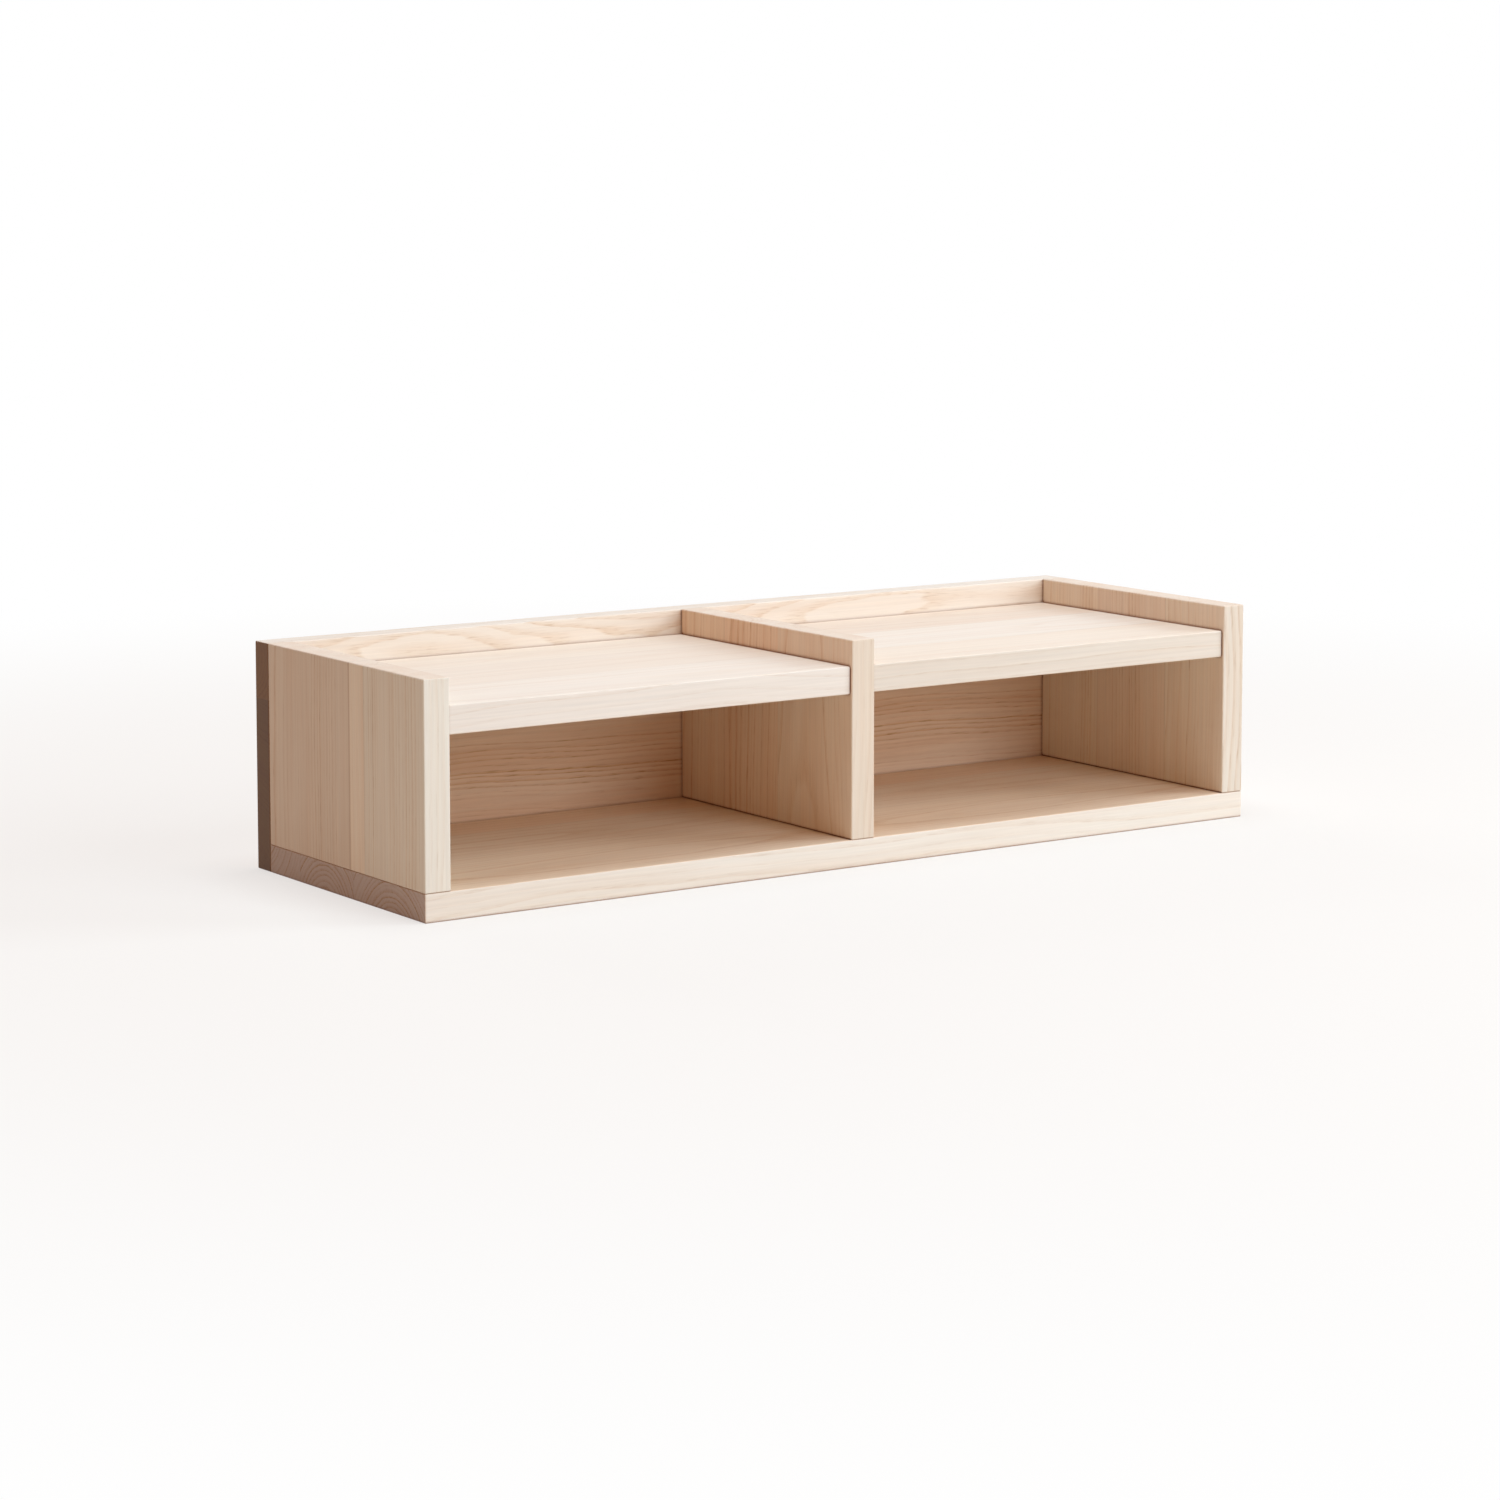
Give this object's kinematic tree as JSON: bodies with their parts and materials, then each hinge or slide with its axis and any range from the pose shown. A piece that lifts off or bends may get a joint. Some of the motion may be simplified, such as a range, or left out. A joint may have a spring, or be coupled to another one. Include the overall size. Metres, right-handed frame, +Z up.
{
  "type": "display shelf",
  "caption": "Low, wide, open-front shelf in pale ash boards, with side-by-side bays under shallow rimmed top trays, and keyhole slots in the back to hang it by.",
  "frame": {"origin": "middle of the footprint, on the underside of the bottom board", "axes": "+X to the right along the front, +Y from the open front to the back, +Z up"},
  "size_m": [0.72, 0.24, 0.164],
  "materials": {
    "ash_board": "edge-glued solid ash, sanded, with a clear matt lacquer",
    "beech_dowel": "turned beech, fluted and raw"
  },
  "bodies": {
    "root": {"bottom_board": "ash_board", "back_board": "ash_board", "left_side": "ash_board", "centre_divider": "ash_board", "right_side": "ash_board", "left_upper_shelf": "ash_board", "right_upper_shelf": "ash_board", "dowels_left_side_to_bottom": "beech_dowel", "dowels_divider_to_bottom": "beech_dowel", "dowels_right_side_to_bottom": "beech_dowel", "dowels_left_side_to_back": "beech_dowel", "dowels_divider_to_back": "beech_dowel", "dowels_right_side_to_back": "beech_dowel", "dowels_left_bay_bottom_to_back": "beech_dowel", "dowels_right_bay_bottom_to_back": "beech_dowel", "dowels_left_shelf_to_side": "beech_dowel", "dowels_shelves_through_divider": "beech_dowel", "dowels_right_shelf_to_side": "beech_dowel", "dowels_left_shelf_to_back": "beech_dowel", "dowels_right_shelf_to_back": "beech_dowel"}
  },
  "joints": []
}
